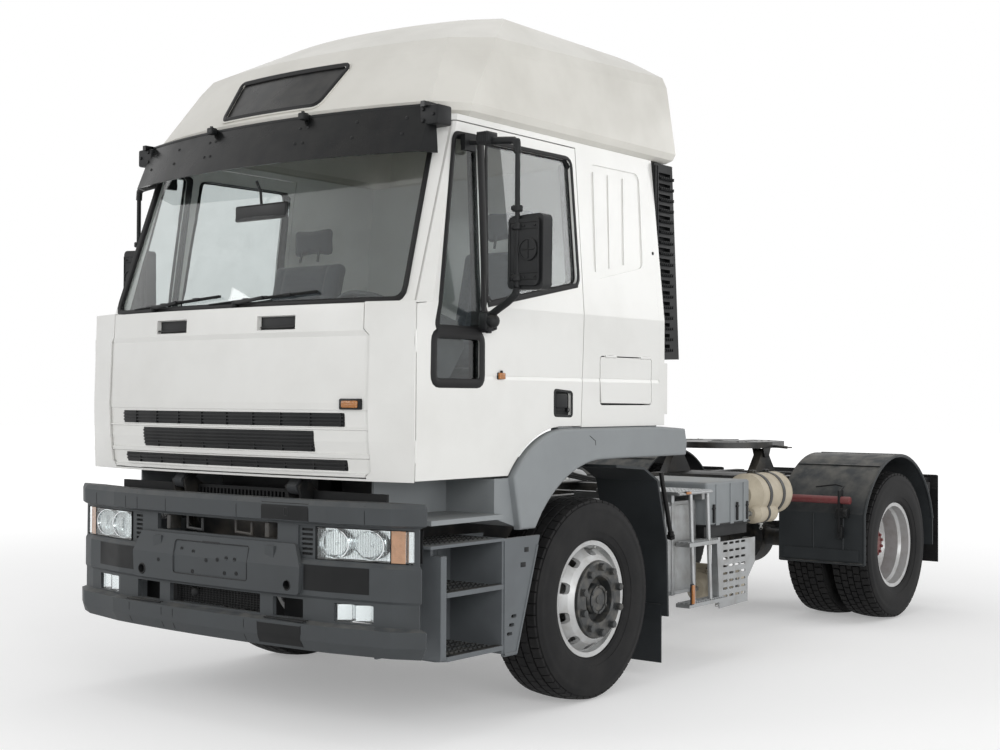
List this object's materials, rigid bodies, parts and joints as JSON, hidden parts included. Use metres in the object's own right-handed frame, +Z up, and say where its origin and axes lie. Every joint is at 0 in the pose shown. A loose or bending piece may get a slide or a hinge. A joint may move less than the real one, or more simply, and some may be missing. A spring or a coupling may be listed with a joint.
{
  "type": "semi truck tractor unit",
  "caption": "Two-axle cab-over truck tractor with high-roof sleeper cab that tilts, opening doors, steering front wheels, twin rear wheels and a fifth wheel",
  "frame": {"origin": "on the ground, at half the width and half the length", "axes": "+Z up, +Y towards the rear, +X towards the vehicle's left"},
  "size_m": [3.0034, 6.077, 3.5052],
  "materials": {
    "cab_white": "gloss paint",
    "roof_white": "moulded glass fibre, satin",
    "bumper_grey": "moulded, grained",
    "arch_grey": "moulded",
    "black_plastic": "moulded",
    "visor_dark": "smoked acrylic",
    "frame_black": "chassis paint",
    "axle_black": "painted casting",
    "spring_steel": "painted spring steel",
    "tyre_black": "moulded rubber",
    "rim_silver": "silver wheel paint",
    "aluminium_grey": "mill finish",
    "tank_beige": "beige primer",
    "cover_grey": "moulded",
    "mudguard_grey": "moulded",
    "flap_rubber": "sheet",
    "glass_tinted": "tinted",
    "lamp_glass": "clear lens",
    "interior_grey": "moulded",
    "seat_fabric": "woven",
    "coupling_black": "greased casting"
  },
  "bodies": {
    "chassis": {"chassis_frame": "frame_black", "front_bumper": "bumper_grey", "front_lamps": "lamp_glass", "cooling_pack": "black_plastic", "step_boxes": "arch_grey", "front_fenders": "mudguard_grey", "front_axle": "axle_black", "front_springs": "spring_steel", "engine": "axle_black", "rear_axle": "axle_black", "rear_springs": "spring_steel", "fuel_tank": "aluminium_grey", "silencer": "aluminium_grey", "battery_box": "black_plastic", "catwalk": "aluminium_grey", "air_tanks": "tank_beige", "rear_mudguards": "mudguard_grey", "tail_lamps": "flap_rubber", "fifth_wheel_base": "frame_black"},
    "battery_lid": {"battery_cover": "cover_grey"},
    "coupling": {"fifth_wheel_plate": "coupling_black"},
    "steer_knuckle_left": {"knuckle_left": "axle_black"},
    "steer_knuckle_right": {"knuckle_right": "axle_black"},
    "front_wheel_left": {"front_tyre_left": "tyre_black", "front_rim_left": "rim_silver"},
    "front_wheel_right": {"front_tyre_right": "tyre_black", "front_rim_right": "rim_silver"},
    "rear_wheel_left": {"rear_tyres_left": "tyre_black", "rear_rims_left": "rim_silver"},
    "rear_wheel_right": {"rear_tyres_right": "tyre_black", "rear_rims_right": "rim_silver"},
    "cab": {"cab_floor": "cab_white", "cab_sides": "cab_white", "cab_rear_wall": "cab_white", "cab_front": "cab_white", "cab_roof": "roof_white", "roof_window": "visor_dark", "windscreen": "glass_tinted", "cab_arches": "arch_grey", "sun_visor": "visor_dark", "seats": "seat_fabric", "bunk_base": "interior_grey", "bunk_mattress": "seat_fabric", "dashboard": "interior_grey", "air_intake": "black_plastic", "wipers": "black_plastic"},
    "helm": {"steering_wheel": "interior_grey"},
    "service_flap": {"front_flap": "cab_white"},
    "left_door": {"door_left": "cab_white", "door_glass_left": "glass_tinted", "mirror_left": "black_plastic"},
    "right_door": {"door_right": "cab_white", "door_glass_right": "glass_tinted", "mirror_right": "black_plastic"},
    "left_locker": {"locker_flap_left": "cab_white"},
    "right_locker": {"locker_flap_right": "cab_white"}
  },
  "joints": [
    {"name": "cab_tilt", "type": "hinge", "parent": "chassis", "child": "cab", "pos_m": [0, -2.84, 1.13], "axis": [1, 0, 0], "range_deg": [0, 60]},
    {"name": "left_door_swing", "type": "hinge", "parent": "cab", "child": "left_door", "pos_m": [1.139, -2.833, 1.6], "axis": [0, 0, -1], "range_deg": [0, 72]},
    {"name": "right_door_swing", "type": "hinge", "parent": "cab", "child": "right_door", "pos_m": [-1.139, -2.833, 1.6], "axis": [0, 0, 1], "range_deg": [0, 72]},
    {"name": "service_flap_lift", "type": "hinge", "parent": "cab", "child": "service_flap", "pos_m": [0, -2.954, 1.967], "axis": [-1, 0, 0], "range_deg": [0, 80]},
    {"name": "left_locker_lift", "type": "hinge", "parent": "cab", "child": "left_locker", "pos_m": [1.139, -1.16, 1.765], "axis": [0, -1, 0], "range_deg": [0, 80]},
    {"name": "right_locker_lift", "type": "hinge", "parent": "cab", "child": "right_locker", "pos_m": [-1.139, -1.16, 1.765], "axis": [0, 1, 0], "range_deg": [0, 80]},
    {"name": "helm_turn", "type": "hinge", "parent": "cab", "child": "helm", "pos_m": [0.54, -2.5, 1.79], "axis": [0, 0.5736, 0.8192], "range_deg": [-684, 684]},
    {"name": "steer_left", "type": "hinge", "parent": "chassis", "child": "steer_knuckle_left", "pos_m": [0.89, -1.46, 0.518], "axis": [0, 0, 1], "range_deg": [-38, 38]},
    {"name": "steer_right", "type": "hinge", "parent": "chassis", "child": "steer_knuckle_right", "pos_m": [-0.89, -1.46, 0.518], "axis": [0, 0, 1], "range_deg": [-38, 38]},
    {"name": "front_left_roll", "type": "hinge", "parent": "steer_knuckle_left", "child": "front_wheel_left", "pos_m": [1.02, -1.46, 0.518], "axis": [1, 0, 0], "continuous": true},
    {"name": "front_right_roll", "type": "hinge", "parent": "steer_knuckle_right", "child": "front_wheel_right", "pos_m": [-1.02, -1.46, 0.518], "axis": [1, 0, 0], "continuous": true},
    {"name": "rear_left_roll", "type": "hinge", "parent": "chassis", "child": "rear_wheel_left", "pos_m": [0.915, 2.24, 0.518], "axis": [1, 0, 0], "continuous": true},
    {"name": "rear_right_roll", "type": "hinge", "parent": "chassis", "child": "rear_wheel_right", "pos_m": [-0.915, 2.24, 0.518], "axis": [1, 0, 0], "continuous": true},
    {"name": "coupling_pitch", "type": "hinge", "parent": "chassis", "child": "coupling", "pos_m": [0, 1.84, 1.15], "axis": [1, 0, 0], "range_deg": [-12, 12]},
    {"name": "battery_lid_lift", "type": "slide", "parent": "chassis", "child": "battery_lid", "axis": [0, 0, 1], "range_m": [0, 0.3]}
  ],
  "couplings": [
    {"joint": "steer_right", "follows": "steer_left", "ratio": 1},
    {"joint": "helm_turn", "follows": "steer_left", "ratio": 18}
  ]
}
